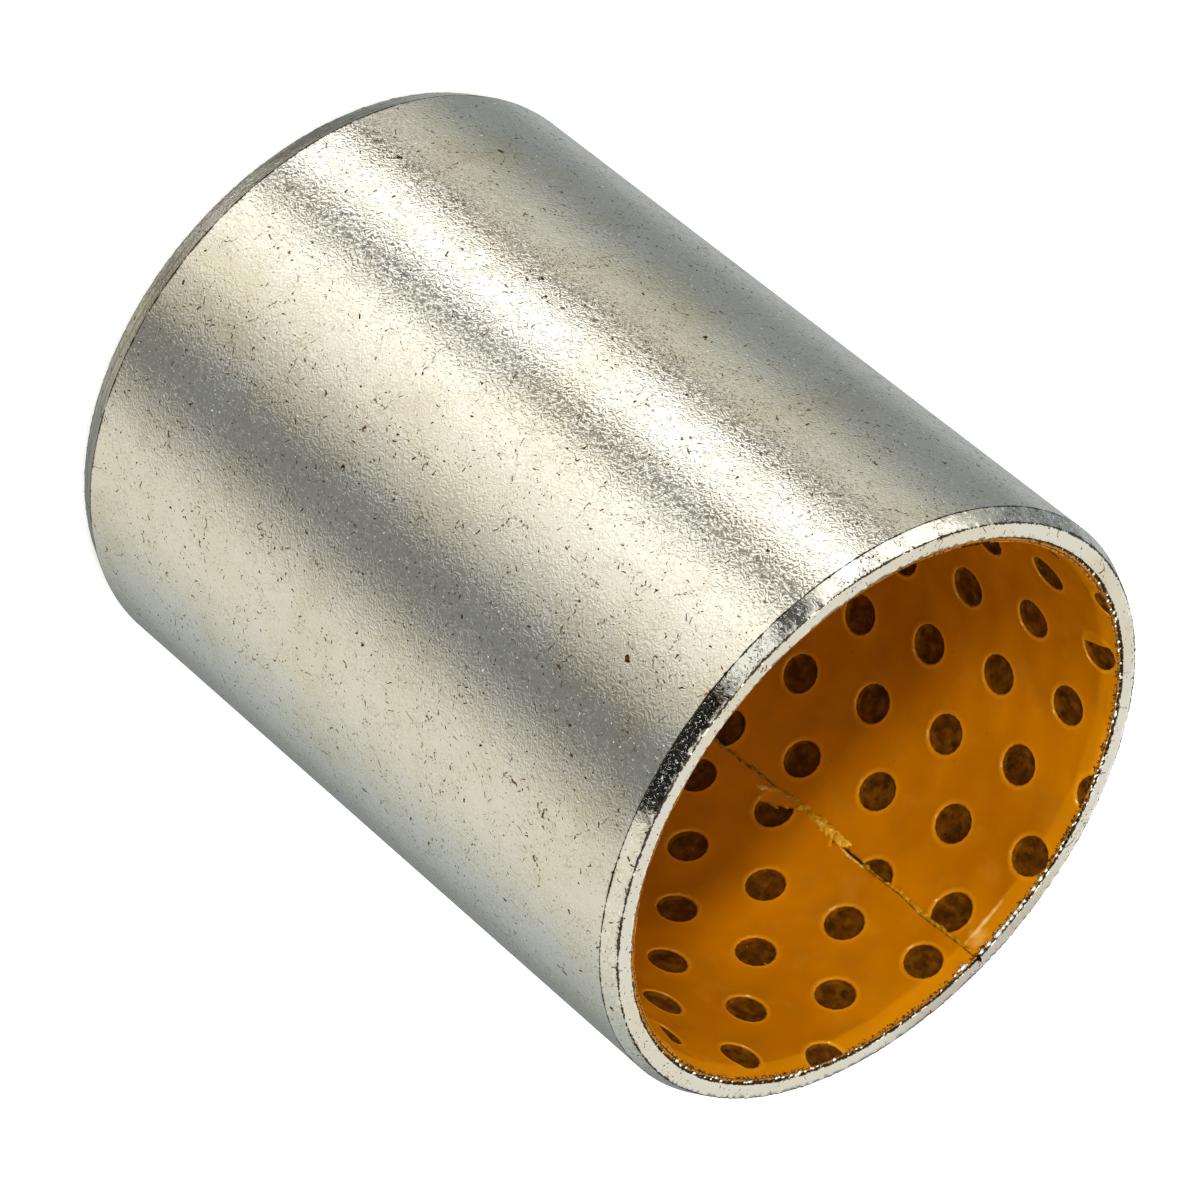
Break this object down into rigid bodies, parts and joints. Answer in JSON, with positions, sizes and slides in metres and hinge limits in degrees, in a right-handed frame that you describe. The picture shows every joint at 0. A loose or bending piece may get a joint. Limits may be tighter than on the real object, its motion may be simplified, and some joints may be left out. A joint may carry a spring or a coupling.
{
  "type": "wrapped polymer-lined plain bearing bush",
  "caption": "Plain bearing bush rolled from a steel strip with a sintered bronze layer and a pocketed polymer lining; pressed in a housing, it guides a greased shaft.",
  "frame": {"origin": "centre of the lower end face, on the bore's axis", "axes": "+Z along the bore towards the upper mouth, +Y through the butt joint of the rolled strip"},
  "size_m": [0.039, 0.039, 0.05],
  "materials": {
    "tinned_steel": "satin tin plate",
    "sintered_bronze": "rough sintered",
    "amber_polymer": "gloss"
  },
  "bodies": {
    "root": {"steel_backing": "tinned_steel", "bronze_interlayer": "sintered_bronze", "polymer_lining": "amber_polymer"}
  },
  "joints": []
}
